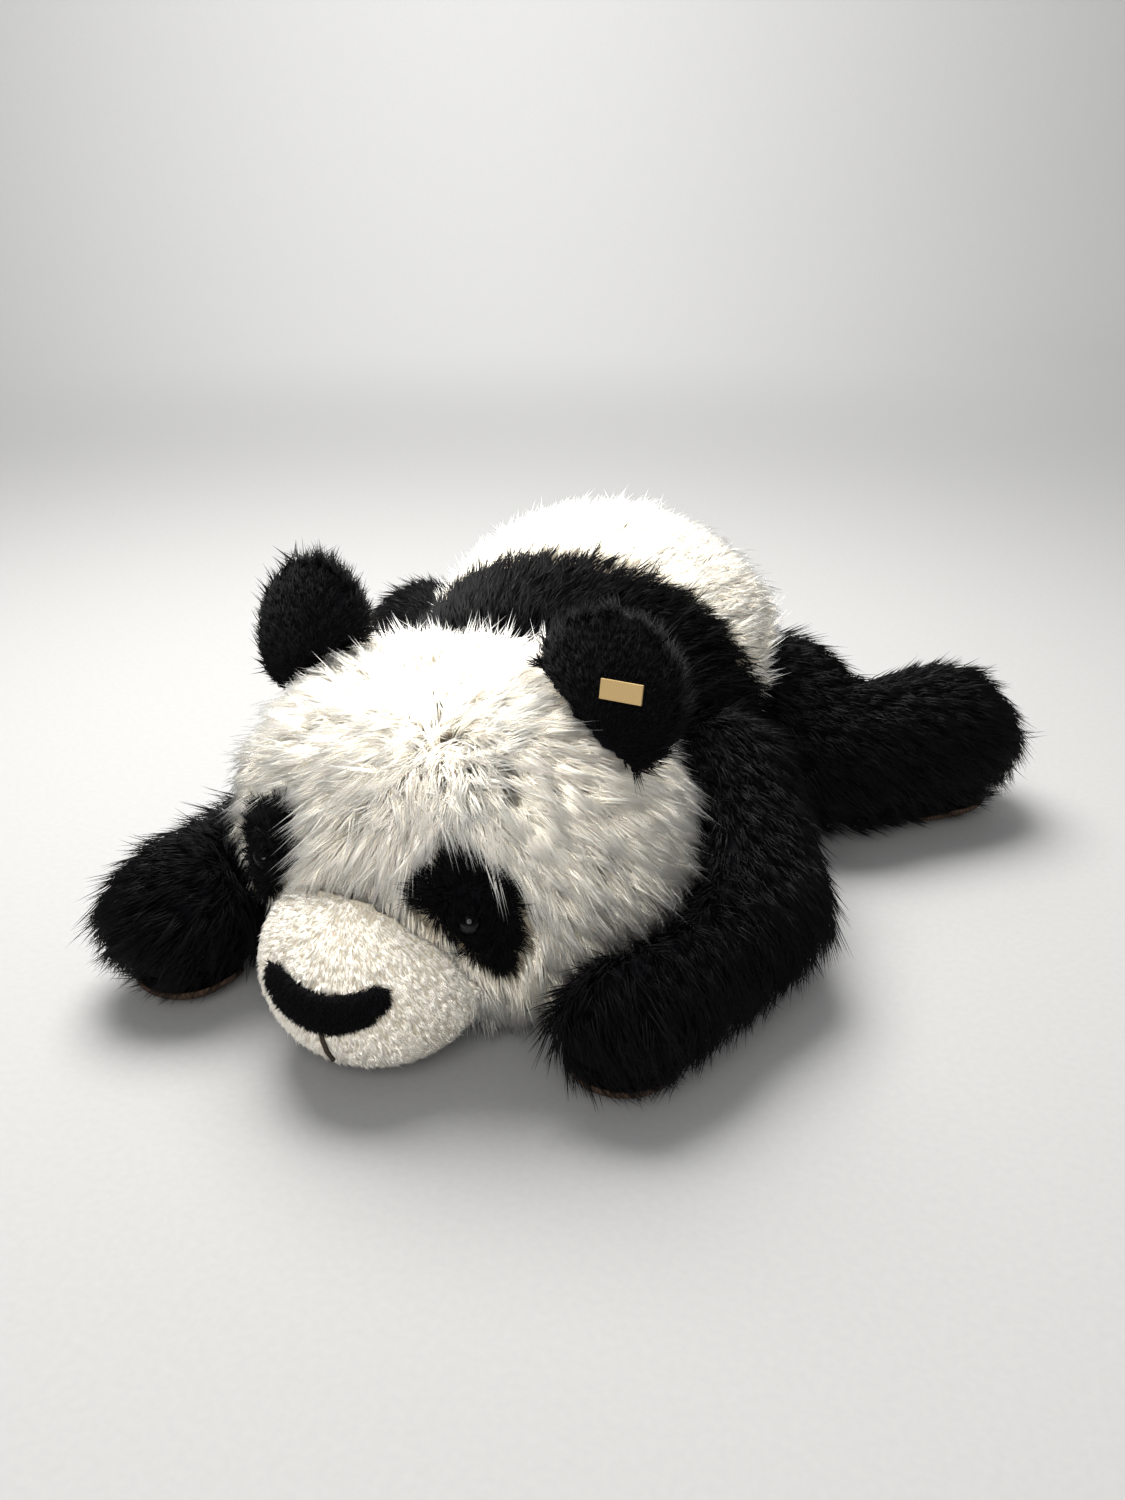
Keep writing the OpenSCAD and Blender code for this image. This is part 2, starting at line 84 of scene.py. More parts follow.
def new_material(name, rough, specular):
    """A new material with its shader."""
    material = bpy.data.materials.new(name)
    material.use_nodes = True
    shader = material.node_tree.nodes["Principled BSDF"]
    shader.inputs["Roughness"].default_value = rough
    shader.inputs["Specular IOR Level"].default_value = specular
    return material, shader


def add_node(material, kind, links=(), sockets=(), **settings):
    """Adds a shader node with its options, the values of its sockets, and the links into it."""
    node = material.node_tree.nodes.new(kind)
    for key, value in settings.items():
        setattr(node, key, value)
    for key, value in sockets:
        node.inputs[key].default_value = value
    for source, key in links:
        material.node_tree.links.new(source, node.inputs[key])
    return node


def two_tones(material, shader, pattern, factor, dark, light):
    """Colours a material between two tones by the value of a pattern node."""
    tint = add_node(material, "ShaderNodeMix", [(pattern.outputs[factor], "Factor")], data_type="RGBA")
    tint.inputs["A"].default_value = linear(dark)
    tint.inputs["B"].default_value = linear(light)
    material.node_tree.links.new(tint.outputs["Result"], shader.inputs["Base Color"])


def new_object(name, mesh, *materials):
    """A new object at the origin, with these materials on its mesh."""
    for material in materials:
        mesh.materials.append(material)
    thing = bpy.data.objects.new(name, mesh)
    scene.collection.objects.link(thing)
    return thing


BOWL_FLAT = 2.4               # the radius of the bowl's flat bottom
BOWL_CURVE = 1.2              # the radius of the curve up to its wall
BOWL_WALL = 2.6               # the height of the wall above the curve
paper, paper_shader = new_material("matt_paper", 0.95, 0.1)
paper_place = add_node(paper, "ShaderNodeTexCoord")
paper_fibres = add_node(paper, "ShaderNodeTexNoise", [(paper_place.outputs["Object"], "Vector")],
                        [("Scale", 260.0), ("Detail", 3.0)])
two_tones(paper, paper_shader, paper_fibres, "Fac", "#a1a1a1", "#a8a8a8")

bowl = bmesh.new()
profile = [(0.0, 0.0), (0.6, 0.0), (1.4, 0.0)]
for step in range(13):
    bend = math.radians(90 * step / 12)
    profile.append((BOWL_FLAT + BOWL_CURVE * math.sin(bend), BOWL_CURVE * (1 - math.cos(bend))))
profile.append((BOWL_FLAT + BOWL_CURVE, BOWL_CURVE + BOWL_WALL))
points = [bowl.verts.new((r, 0, z)) for r, z in profile]
edges = [bowl.edges.new(pair) for pair in zip(points, points[1:])]
bmesh.ops.spin(bowl, geom=points + edges, cent=(0, 0, 0), axis=(0, 0, 1), angle=2 * math.pi,
               steps=72, use_merge=True)
bmesh.ops.remove_doubles(bowl, verts=bowl.verts, dist=1e-5)
bmesh.ops.recalc_face_normals(bowl, faces=bowl.faces)
if sum(f.normal.z for f in bowl.faces if f.calc_center_median().z < 0.01) < 0:
    bmesh.ops.reverse_faces(bowl, faces=bowl.faces)
bowl_mesh = bpy.data.meshes.new("paper_bowl")
bowl.to_mesh(bowl_mesh)
bowl.free()
bowl_mesh.polygons.foreach_set("use_smooth", [True] * len(bowl_mesh.polygons))
new_object("paper_bowl", bowl_mesh, paper)

sky = bpy.data.worlds.new("studio_air")
sky.use_nodes = True
sky.node_tree.nodes["Background"].inputs["Color"].default_value = linear("#f1f3f5")
sky.node_tree.nodes["Background"].inputs["Strength"].default_value = 0.55
scene.world = sky


def soft_light(name, place, target, size, watts, colour):
    """A round soft light that hangs at a place and points at its target."""
    data = bpy.data.lights.new(name, "AREA")
    data.shape = "DISK"
    data.size = size
    data.energy = watts
    data.color = linear(colour)[:3]
    lamp = bpy.data.objects.new(name, data)
    lamp.location = place
    lamp.rotation_euler = (Vector(target) - Vector(place)).to_track_quat("-Z", "Y").to_euler()
    scene.collection.objects.link(lamp)


soft_light("overhead_light", (-0.3, 0.2, 1.15), (0, -0.1, 0.1), 0.9, 32, "#fffdf9")
soft_light("front_light", (0.5, -1.5, 1.1), (0, -0.1, 0.1), 1.3, 18, "#fffefc")
soft_light("wall_light", (-1.1, 1.9, 1.9), (-1.45, 3.0, 0.3), 1.6, 72, "#fffefc")

# ---- Trunk -----------------------------------------------------------------------------------
# The trunk is a bag of knitted pile fabric, pushed tight with loose fibre: a black band over the
# shoulders, two white panels over the rump, and a plain panel under the belly, sewn edge to edge.
# The other bags are formed here too, because pile stands only where no other bag is in its way.


def mesh_arrays(thing):
    """Vertex places, vertex normals and triangles of an object's mesh."""
    mesh = thing.data
    places = np.empty(len(mesh.vertices) * 3)
    normals = np.empty(len(mesh.vertices) * 3)
    mesh.vertices.foreach_get("co", places)
    mesh.vertex_normals.foreach_get("vector", normals)
    mesh.calc_loop_triangles()
    corners = np.empty(len(mesh.loop_triangles) * 3, np.int32)
    mesh.loop_triangles.foreach_get("vertices", corners)
    return places.reshape(-1, 3), normals.reshape(-1, 3), corners.reshape(-1, 3)


def move_points(thing, places):
    """Puts the mesh's vertices at these places."""
    thing.data.vertices.foreach_set("co", np.ascontiguousarray(places).ravel())
    thing.data.update()
    return thing


def settled(thing):
    """The object with its modifiers worked into its mesh."""
    made = bpy.data.meshes.new_from_object(thing.evaluated_get(bpy.context.evaluated_depsgraph_get()))
    thing.modifiers.clear()
    thing.data = made
    return thing


def joined_copy(name, nodes):
    """One new object that holds merged copies of these CAD solids."""
    gathered = bmesh.new()
    for node in nodes:
        gathered.from_mesh(frame["nodes"][node].data)
    bmesh.ops.remove_doubles(gathered, verts=gathered.verts, dist=1e-6)
    mesh = bpy.data.meshes.new(name)
    gathered.to_mesh(mesh)
    gathered.free()
    return new_object(name, mesh)


def stuffed(thing, cap, pressure=4.0):
    """Blows the bag up as cloth over its filling. No point moves more than
    cap."""
    before, _, _ = mesh_arrays(thing)
    cloth = thing.modifiers.new("cloth", "CLOTH")
    cloth.settings.use_pressure = True
    cloth.settings.uniform_pressure_force = pressure
    cloth.settings.effector_weights.gravity = 0
    cloth.point_cache.frame_start = 1
    cloth.point_cache.frame_end = 20
    for step in range(1, 21):
        scene.frame_set(step)
    settled(thing)
    scene.frame_set(1)
    after, _, _ = mesh_arrays(thing)
    moved = after - before
    reach = np.linalg.norm(moved, axis=1, keepdims=True)
    return move_points(thing, before + moved * np.minimum(1, cap / np.maximum(reach, 1e-9)))


CLOTH_LIFT = 0.0014           # the underside of a bag lies this far above the ground
THIN_SHARE = 0.4              # a bag's wall moves in by at most this share of the bag's thickness


def inset(thing, depth):
    """Pushes a closed surface in by this much, or by less where the body is thin."""
    places, normals, corners = mesh_arrays(thing)
    tree = BVHTree.FromPolygons(places.tolist(), corners.tolist())
    push = np.full(len(places), depth)
    for i, (place, normal) in enumerate(zip(places, normals)):
        inward = Vector(-normal)
        across = tree.ray_cast(Vector(place) + inward * 1e-4, inward)[3]
        if across is not None:
            push[i] = min(depth, THIN_SHARE * across)
    return move_points(thing, places - normals * push[:, None])


def reskinned(thing, voxel, rounds):
    """Wraps the piece in one even closed skin and smooths it."""
    skin = thing.modifiers.new("skin", "REMESH")
    skin.mode = "VOXEL"
    skin.voxel_size = voxel
    smooth = thing.modifiers.new("smooth", "SMOOTH")
    smooth.iterations = rounds
    return settled(thing)


def form(name, nodes, depth, voxel=0.0055, rounds=12, swell=0.003):
    """The bag under the pile, this deep inside the outer surface of its CAD solids."""
    thing = reskinned(joined_copy(name, nodes), voxel, rounds)
    if depth > voxel:
        reskinned(inset(thing, depth + swell / 2), voxel, 3)
    else:
        inset(thing, depth + swell / 2)
    stuffed(thing, swell)
    places, _, _ = mesh_arrays(thing)
    places[:, 2] = np.maximum(places[:, 2], CLOTH_LIFT)
    move_points(thing, places)
    thing.data.polygons.foreach_set("use_smooth", [True] * len(thing.data.polygons))
    return thing


def tree_of(thing, hull=False):
    """A search tree of a mesh, or of the skin stretched round it."""
    places, _, corners = mesh_arrays(thing)
    if not hull:
        return BVHTree.FromPolygons(places.tolist(), corners.tolist())
    wrap = bmesh.new()
    for place in places:
        wrap.verts.new(place)
    bmesh.ops.convex_hull(wrap, input=wrap.verts)
    bmesh.ops.recalc_face_normals(wrap, faces=wrap.faces)
    tree = BVHTree.FromBMesh(wrap)
    wrap.free()
    return tree


SEAM_TUCK = 0.0012            # a panel's edge turns in this far at its seam
CLOTH_THICK = 0.0012          # knitted backing with its pile's feet
FIBRE_VOXEL = 0.005
FIBRE_ROUNDS = 8


def panel(name, bag, material, planes=()):
    """The part of a bag's surface behind each of these planes, with its edge turned in."""
    cut = bmesh.new()
    cut.from_mesh(bag.data)
    for at, facing in planes:
        bmesh.ops.bisect_plane(cut, geom=cut.verts[:] + cut.edges[:] + cut.faces[:],
                               plane_co=at, plane_no=facing, clear_outer=True)
    for point in cut.verts:
        if point.is_boundary:
            point.co -= point.normal * SEAM_TUCK
    mesh = bpy.data.meshes.new(name)
    cut.to_mesh(mesh)
    cut.free()
    return new_object(name, mesh, material)


def thickened(cloth):
    """Gives a panel the thickness of its cloth, inwards."""
    wall = cloth.modifiers.new("wall", "SOLIDIFY")
    wall.thickness = CLOTH_THICK
    wall.offset = -1
    return settled(cloth)


def stuffing(name, bag, material):
    """The fibre inside a bag, clear of its cloth."""
    thing = reskinned(new_object(name, bag.data.copy(), material), FIBRE_VOXEL, FIBRE_ROUNDS)
    return inset(thing, CLOTH_THICK * 2)


def fitted(thing, body, nodes=()):
    """Fixes a finished piece to its body, and hides the CAD solids that it stands for."""
    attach(thing, body)
    if nodes:
        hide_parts(*nodes)
    return thing


def knit_backing(name, dark, light):
    """Warp-knitted polyester backing: quite matt, with faint stitch rows. The rows are 2 mm apart,
    about twice as coarse as real ones."""
    material, shader = new_material(name, 0.95, 0.1)
    place = add_node(material, "ShaderNodeTexCoord")
    rows = add_node(material, "ShaderNodeTexWave", [(place.outputs["Object"], "Vector")],
                    [("Scale", 160.0), ("Distortion", 4.0), ("Detail", 2.0)])
    two_tones(material, shader, rows, "Fac", dark, light)
    return material


def spindle():
    """One hair, a closed three-sided spindle from z = 0 to z = 1: its points and triangles."""
    hair = bmesh.new()
    for root_radius, tip_radius, middle in ((0, 1, 0.25), (1, 0, 0.75)):
        bmesh.ops.create_cone(hair, cap_ends=False, segments=3, depth=0.5, radius1=root_radius,
                              radius2=tip_radius, matrix=Matrix.Translation((0, 0, middle)))
    bmesh.ops.remove_doubles(hair, verts=hair.verts, dist=1e-4)
    bmesh.ops.triangulate(hair, faces=hair.faces)
    bmesh.ops.recalc_face_normals(hair, faces=hair.faces)
    hair.verts.index_update()
    places = np.array([point.co[:] for point in hair.verts])
    triangles = np.array([[point.index for point in face.verts] for face in hair.faces], np.int32)
    hair.free()
    return places, triangles


def unit(v):
    """The same directions with a length of 1."""
    return v / np.maximum(np.linalg.norm(v, axis=-1, keepdims=True), 1e-12)


def dot(a, b):
    """The dot product of each pair of vectors."""
    return np.sum(a * b, axis=-1, keepdims=True)


def scattered(thing, count, rng, wanted):
    """Random places on a panel with their normals. wanted gives the share of places to keep."""
    places, normals, corners = mesh_arrays(thing)
    a, b, c = (places[corners[:, i]] for i in range(3))
    area = np.linalg.norm(np.cross(b - a, c - a), axis=1)
    kept = np.empty((0, 2, 3))
    while len(kept) < count:
        pick = rng.choice(len(area), count, p=area / area.sum())
        r, s = rng.random((2, count, 1))
        r, s = np.where(r + s > 1, 1 - r, r), np.where(r + s > 1, 1 - s, s)
        weights = (1 - r - s, r, s)
        at = sum(w * places[corners[pick, i]] for i, w in enumerate(weights))
        facing = sum(w * normals[corners[pick, i]] for i, w in enumerate(weights))
        chosen = rng.random(count) < wanted(at)
        kept = np.concatenate([kept, np.stack([at, unit(facing)], 1)[chosen]])
    return kept[:count, 0], kept[:count, 1]


def within(tree, at):
    """Whether a place is inside a closed form: a ray from it crosses the form an odd number of times."""
    ahead = Vector((0.013, 0.007, 1)).normalized()
    crossings = 0
    while (hit := tree.ray_cast(at, ahead)[0]) is not None:
        crossings += 1
        at = hit + ahead * 1e-5
    return crossings % 2 == 1


def clear_of(inside=(), near=()):
    """Says where pile may stand: not this deep inside a form, and not this near to one."""
    def wanted(places):
        keep = np.ones(len(places))
        for i, place in enumerate(places):
            at = Vector(place)
            for tree, depth in inside:
                if tree.find_nearest(at)[3] > depth and within(tree, at):
                    keep[i] = 0
            for tree, distance in near:
                if tree.find_nearest(at, distance)[0] is not None:
                    keep[i] = 0
        return keep
    return wanted


def trimmed_at(trees, overhang):
    """The longest a hair may be where it is brushed towards one of these forms."""
    def limit(root, way):
        most = np.full(len(root), 1.0)
        for i, (place, ahead) in enumerate(zip(root, way)):
            for tree in trees:
                found, _, _, distance = tree.find_nearest(Vector(place))
                facing = (found - Vector(place)).normalized().dot(Vector(ahead))
                if facing > 0.1:
                    most[i] = min(most[i], distance / facing + overhang)
        return most
    return limit


HAIR_CLEAR = 0.0008           # no hair lies lower than this
ROOT_SUNK = 0.001             # a hair's root starts this far under the cloth


def pile(name, cloth, material, seed, tufts, hairs, length, comb, wanted, trim=None, stand=0.45,
         width=0.0007, spread=0.004, gather=0.55, stray=0.14, droop=0.1, wave=0.0):
    """Tufts of hairs that stand on a panel, each modelled hair a wisp of many fibres.
    comb gives the way they are brushed, and trim the longest they may be at each root.
    stand is how steeply they rise, gather how far a tuft's tips draw together, stray how far tufts
    turn from their neighbours, droop how far they hang, and wave the size of their crimp."""
    rng = np.random.default_rng(seed)
    root, normal = scattered(cloth, tufts, rng, wanted)
    way = comb(root) + rng.normal(0, 0.16, root.shape)
    way = unit(way - normal * dot(way, normal))
    long = length * rng.uniform(0.85, 1.1, tufts)
    if trim:
        long = np.maximum(np.minimum(long, trim(root, way)), 0.2 * length)
    sway = rng.normal(0, stray, (tufts, 3))
    tone = rng.random(tufts)
    phase = rng.uniform(0, 2 * math.pi, (tufts, 1))

    count = tufts * hairs
    root, normal, way, sway, tone, long, phase = (
        np.repeat(values, hairs, axis=0) for values in (root, normal, way, sway, tone, long, phase))
    side = np.cross(normal, way)
    turn = rng.uniform(0, 2 * math.pi, (count, 1))
    offset = (way * np.cos(turn) + side * np.sin(turn)) * spread * np.sqrt(rng.random((count, 1)))
    long = (long * rng.uniform(0.72, 1.06, count))[:, None]
    tone = np.clip(tone * 0.65 + rng.random(count) * 0.35, 0, 1)
    own = rng.normal(0, stray * 0.45, (count, 3))
    steep = stand(root) if callable(stand) else stand
    rise = np.clip(steep + rng.normal(0, 0.08, (count, 1)), 0.05, 1.3)

    def core(s):
        """Where every hair is, a share s of the way along it."""
        lift = normal * rise * (1.6 * s - 0.6 * s * s)
        lean = way * (0.35 * s + 0.65 * s * s)
        drift = (sway + own) * s * s - np.array([0, 0, droop]) * s * s
        crimp = side * wave * s * np.sin(phase + 2 * math.pi * s)
        at = root - normal * ROOT_SUNK + offset * (1 - gather * s) + (lift + lean + drift) * long + crimp
        at[:, 2] = np.maximum(at[:, 2], HAIR_CLEAR)
        return at

    places, triangles = spindle()
    made = np.empty((count, len(places), 3))
    for i, (x, y, s) in enumerate(places):
        ahead = unit(core(min(s + 0.1, 1.0)) - core(max(s - 0.1, 0.0)))
        left = unit(np.cross(ahead, normal))
        made[:, i] = core(s) + (left * x + np.cross(left, ahead) * y) * width * (0.62 - 0.3 * s)
    corners = (np.arange(count)[:, None, None] * len(places) + triangles).reshape(-1)
    mesh = bpy.data.meshes.new(name)
    mesh.vertices.add(count * len(places))
    mesh.vertices.foreach_set("co", made.ravel())
    mesh.loops.add(len(corners))
    mesh.loops.foreach_set("vertex_index", corners.astype(np.int32))
    mesh.polygons.add(len(corners) // 3)
    mesh.polygons.foreach_set("loop_start", np.arange(0, len(corners), 3, dtype=np.int32))
    mesh.update(calc_edges=True)
    chart = mesh.uv_layers.new(name="OFBake")
    across_chart = np.repeat(tone * 0.96 + 0.02, len(places))[corners]
    along_chart = np.tile(places[:, 2] * 0.96 + 0.02, count)[corners]
    chart.data.foreach_set("uv", np.stack([across_chart, along_chart], -1).ravel())
    mesh.polygons.foreach_set("use_smooth", [True] * len(mesh.polygons))
    return new_object(name, mesh, material)


def acrylic_pile(name, root, middle, tip, rough, sheen, darkest, glow=0.0):
    """Crimped acrylic fibre: soft and hardly shiny. Its colour runs from a darker root, which is painted
    shade deep in the pile, to the tip.
    Each wisp has its own tone, down to darkest, and light glows a little way through pale fibre."""
    material, shader = new_material(name, rough, 0.15)
    shader.subsurface_method = "BURLEY"
    shader.inputs["Subsurface Weight"].default_value = glow
    shader.inputs["Subsurface Radius"].default_value = (1.0, 0.9, 0.8)
    shader.inputs["Subsurface Scale"].default_value = 0.004
    chart = add_node(material, "ShaderNodeUVMap", uv_map="OFBake")
    parts = add_node(material, "ShaderNodeSeparateXYZ", [(chart.outputs["UV"], "Vector")])
    # The ramp darkens towards the root: painted shade deep in the pile.
    along = add_node(material, "ShaderNodeValToRGB", [(parts.outputs["Y"], "Fac")])
    along.color_ramp.elements[0].color = linear(root)
    along.color_ramp.elements[1].color = linear(tip)
    along.color_ramp.elements.new(0.4).color = linear(middle)
    shade = add_node(material, "ShaderNodeMapRange", [(parts.outputs["X"], "Value")],
                     [("To Min", darkest)])
    tinted = add_node(material, "ShaderNodeVectorMath",
                      [(along.outputs["Color"], 0), (shade.outputs["Result"], "Scale")],
                      operation="SCALE")
    material.node_tree.links.new(tinted.outputs["Vector"], shader.inputs["Base Color"])
    shader.inputs["Sheen Weight"].default_value = sheen
    shader.inputs["Sheen Roughness"].default_value = 0.4
    return material


white_backing = knit_backing("white_knit_backing", "#d6ccb8", "#ddd3bf")
black_backing = knit_backing("black_knit_backing", "#050507", "#0c0c10")
# The darker root colours are painted shade deep in the pile; the tips carry the fibre's own colour.
white_pile = acrylic_pile("white_acrylic_pile", "#efe3cc", "#faf5e9", "#fffefa", 0.6, 0.2, 0.95, glow=0.5)
black_pile = acrylic_pile("black_acrylic_pile", "#020203", "#050507", "#0b0b10", 0.6, 0.0, 0.5)

# Hollow polyester fibre: fluffy white wads, with painted shade darkening the gaps between them.
fibre, fibre_shader = new_material("polyester_fibre", 0.9, 0.1)
fibre_place = add_node(fibre, "ShaderNodeTexCoord")
fibre_wads_and_shade = add_node(fibre, "ShaderNodeTexNoise", [(fibre_place.outputs["Object"], "Vector")],
                      [("Scale", 60.0), ("Detail", 6.0)])
two_tones(fibre, fibre_shader, fibre_wads_and_shade, "Fac", "#cfcfca", "#f4f4f1")

LONG_PILE_DEPTH = 0.007       # the cloth under long pile, inside the CAD surface
LONG_PILE = 0.026             # the length of the head's pile
SIDES = {"left": 1, "right": -1}
FORELEGS = {s: [f"foreleg_{p}_{s}" for p in ("filling", "top", "under")] + [f"paw_pad_{s}"] for s in SIDES}
HIND_LEGS = {s: [f"hind_leg_{p}_{s}" for p in ("filling", "top", "under")] + [f"foot_pad_{s}"]
             for s in SIDES}
TRUNK = ["torso_filling", "shoulder_band_cover", "rump_cover_left", "rump_cover_right", "belly_panel"]
SKULL = ["head_filling", "crown_cover", "cheek_cover_left", "cheek_cover_right", "chin_cover",
         "eye_patch_left", "eye_patch_right"]
MUZZLE = ["muzzle_filling", "muzzle_cover", "nose_patch"]

trunk_bag = form("trunk_bag", TRUNK, LONG_PILE_DEPTH)
skull_bag = form("skull_bag", SKULL, LONG_PILE_DEPTH)
muzzle_bag = form("muzzle_bag", MUZZLE, 0.003, voxel=0.004)
foreleg_bags = {s: form(f"foreleg_bag_{s}", FORELEGS[s], LONG_PILE_DEPTH) for s in SIDES}
hind_leg_bags = {s: form(f"hind_leg_bag_{s}", HIND_LEGS[s], LONG_PILE_DEPTH) for s in SIDES}
trunk_hull = tree_of(trunk_bag, hull=True)
skull_hull = tree_of(skull_bag, hull=True)
muzzle_tree = tree_of(muzzle_bag)
leg_trees = [tree_of(bag) for bag in (*foreleg_bags.values(), *hind_leg_bags.values())]

SEAM_BACK = 0.078             # the band's rear seam crosses the spine this far behind the chest joint
SEAM_LEAN = math.radians(24)  # and leans back this much at its top
SEAM_SLANT = math.radians(10)  # and turns this much across the back
seam_at = chest + Vector((0, SEAM_BACK, 0))
seam_facing = Euler((SEAM_LEAN, 0, SEAM_SLANT)).to_matrix() @ Vector((0, 1, 0))
trunk_low, trunk_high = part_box("torso_filling")
spine_at = Vector((trunk_low.x + trunk_high.x, 0, 0)) / 2
trunk_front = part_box("shoulder_band_cover")[0]
BELLY_MARGIN = 0.003          # the belly panel's seam lies this far above its CAD solid
belly_top = Vector((0, 0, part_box("belly_panel")[1].z + BELLY_MARGIN))


def from_spine(backward, down):
    """Brushed out from the spine, backward and down."""
    def comb(places):
        out = places - np.array([spine_at.x, chest.y, chest.z])
        out[:, 1] = 0
        return unit(out) * 0.9 + np.array([0, backward, -down])
    return comb


trunk_wanted = clear_of(inside=[(skull_hull, 0.004)] + [(tree, 0.002) for tree in leg_trees])
over_belly = (belly_top, (0, 0, -1))
trunk_panels = [
    ("shoulder_band", black_backing, black_pile, "black_long_pile", ["shoulder_band_cover"], 11, 3900,
     [(seam_at, seam_facing), (trunk_front, (0, -1, 0)), over_belly], 0.024),
    ("rump_left", white_backing, white_pile, "white_long_pile", ["rump_cover_left"], 12, 3900,
     [(seam_at, -seam_facing), (spine_at, (-1, 0, 0)), over_belly], 0.022),
    ("rump_right", white_backing, white_pile, "white_long_pile", ["rump_cover_right"], 13, 3900,
     [(seam_at, -seam_facing), (spine_at, (1, 0, 0)), over_belly], 0.022),
]
for name, backing, hair, slot, nodes, seed, tufts, planes, length in trunk_panels:
    cloth = panel(f"{name}_cloth", trunk_bag, backing, planes)
    coat = pile(f"{name}_pile", cloth, hair, seed, tufts, 6, length, from_spine(0.8, 0.3),
                trunk_wanted, spread=0.0045, stand=0.45, width=0.0009)
    fitted(thickened(cloth), "torso", nodes)
    fitted(coat, "torso")
belly_cloth = panel("belly_cloth", trunk_bag, black_backing, [(belly_top, (0, 0, 1))])
fitted(thickened(belly_cloth), "torso", ["belly_panel"])
fitted(stuffing("trunk_stuffing", trunk_bag, fibre), "torso", ["torso_filling"])

# ---- Neck ------------------------------------------------------------------------------------
# A cap of black cloth over the front of the trunk.
# The head is sewn to it and turns on it.

neck_cloth = form("neck_cloth", ["neck_cover"], 0.0, voxel=0.003, rounds=4, swell=0.0)
neck_cloth.data.materials.append(black_backing)
fitted(neck_cloth, "neck", ["neck_cover"])

# ---- Head ------------------------------------------------------------------------------------
# Four panels of long white pile: the crown, the cheeks and the chin. The pile is brushed out from
# a whorl on the brow between the eyes, and it is cut short where it would hang over the face.

eyes = {side: sum(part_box(f"eye_{side}"), Vector()) / 2 for side in SIDES}
head_across = (eyes["left"] - eyes["right"]).normalized()
head_across.z = 0
head_at = chest + Vector((0, -0.103, -0.002))
WHORL_LEFT = 0.022            # the whorl lies this far left of the middle of the brow
WHORL_RISE = 0.070            # and this far above the eyes
whorl = (eyes["left"] + eyes["right"]) / 2 + head_across * WHORL_LEFT + Vector((0, 0.028, WHORL_RISE))


def from_whorl(places):
    """Brushed out from the whorl, tangled near it, and swept back and down over the cheeks."""
    away = places - np.array(whorl)
    near = np.clip(1 - np.linalg.norm(away, axis=1, keepdims=True) / 0.05, 0, 1)
    tangle = np.sin(places[:, [1, 2, 0]] * 900) + np.cos(places[:, [2, 0, 1]] * 1300)
    low = np.clip((head_at.z + 0.03 - places[:, 2:]) / 0.08, 0, 1)
    return unit(away) + near * tangle * 1.1 + low * np.array([0, 0.25, -0.55])


CROWN_HALF = 0.042            # half the width of the crown panel
CHIN_SEAM = 0.0626            # the chin's seam lies this far below the middle of the head
chin_at = head_at - Vector((0, 0, CHIN_SEAM))
patch_forms = {s: form(f"eye_patch_cloth_{s}", [f"eye_patch_{s}"], 0.0015, voxel=0.0025, rounds=5,
                       swell=0.0) for s in SIDES}
patch_trees = [tree_of(thing) for thing in patch_forms.values()]
head_clear = clear_of(inside=[(trunk_hull, 0.002), (muzzle_tree, 0.001)]
                      + [(tree, 0.003) for tree in leg_trees],
                      near=[(tree, 0.0105) for tree in patch_trees] + [(muzzle_tree, 0.003)])
head_trim = trimmed_at(patch_trees + [muzzle_tree], -0.004)


def head_wanted(places):
    """The pile is thicker at the whorl, where it parts."""
    away = np.linalg.norm(places - np.array(whorl), axis=1)
    return head_clear(places) * (0.4 + 0.6 * np.clip(1 - away / 0.04, 0, 1))


def head_stand(places):
    """The pile stands up at the whorl and lies flatter away from it."""
    away = np.linalg.norm(places - np.array(whorl), axis=1, keepdims=True)
    return 0.45 + 0.4 * np.clip(1 - away / 0.06, 0, 1)


head_panels = [
    ("crown", ["crown_cover"], 21, 2450, [(head_at + head_across * CROWN_HALF, head_across),
     (head_at - head_across * CROWN_HALF, -head_across), (chin_at, (0, 0, -1))]),
    ("cheek_left", ["cheek_cover_left"], 22, 2450,
     [(head_at + head_across * CROWN_HALF, -head_across), (chin_at, (0, 0, -1))]),
    ("cheek_right", ["cheek_cover_right"], 23, 2200,
     [(head_at - head_across * CROWN_HALF, head_across), (chin_at, (0, 0, -1))]),
    ("chin", ["chin_cover"], 24, 600, [(chin_at, (0, 0, 1))]),
]
for name, nodes, seed, tufts, planes in head_panels:
    cloth = panel(f"{name}_cloth", skull_bag, white_backing, planes)
    coat = pile(f"{name}_pile", cloth, white_pile, seed, tufts, 12, LONG_PILE, from_whorl, head_wanted,
                trim=head_trim, spread=0.005, stand=head_stand, gather=0.65, wave=0.0015,
                droop=0.25, width=0.0009)
    fitted(thickened(cloth), "head", nodes)
    fitted(coat, "head")
fitted(stuffing("head_stuffing", skull_bag, fibre), "head", ["head_filling"])

# ---- Muzzle ----------------------------------------------------------------------------------
# A round panel of dense, short cream pile, stuffed hard. Its nap runs down over the bridge and
# outward to both sides.

cream_backing = knit_backing("cream_knit_backing", "#cfc4ae", "#e0d7c6")
# The darker root colour is painted shade deep in the pile.
cream_pile = acrylic_pile("cream_acrylic_velvet", "#ece2cf", "#f7f2e8", "#fffdf8", 0.7, 0.2, 0.95, glow=0.5)
muzzle_low, muzzle_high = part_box("muzzle_cover")
muzzle_at = (muzzle_low + muzzle_high) / 2
nose_form = form("nose_cloth", ["nose_patch"], 0.0, voxel=0.002, rounds=4, swell=0.0)
nose_tree = tree_of(nose_form)


def over_muzzle(places):
    """The nap runs down from the bridge and outward to the sides."""
    out = places - np.array(muzzle_at)
    return unit(out) * np.array([1.0, 0.2, 0.2]) + np.array([0, 0.1, -0.8])


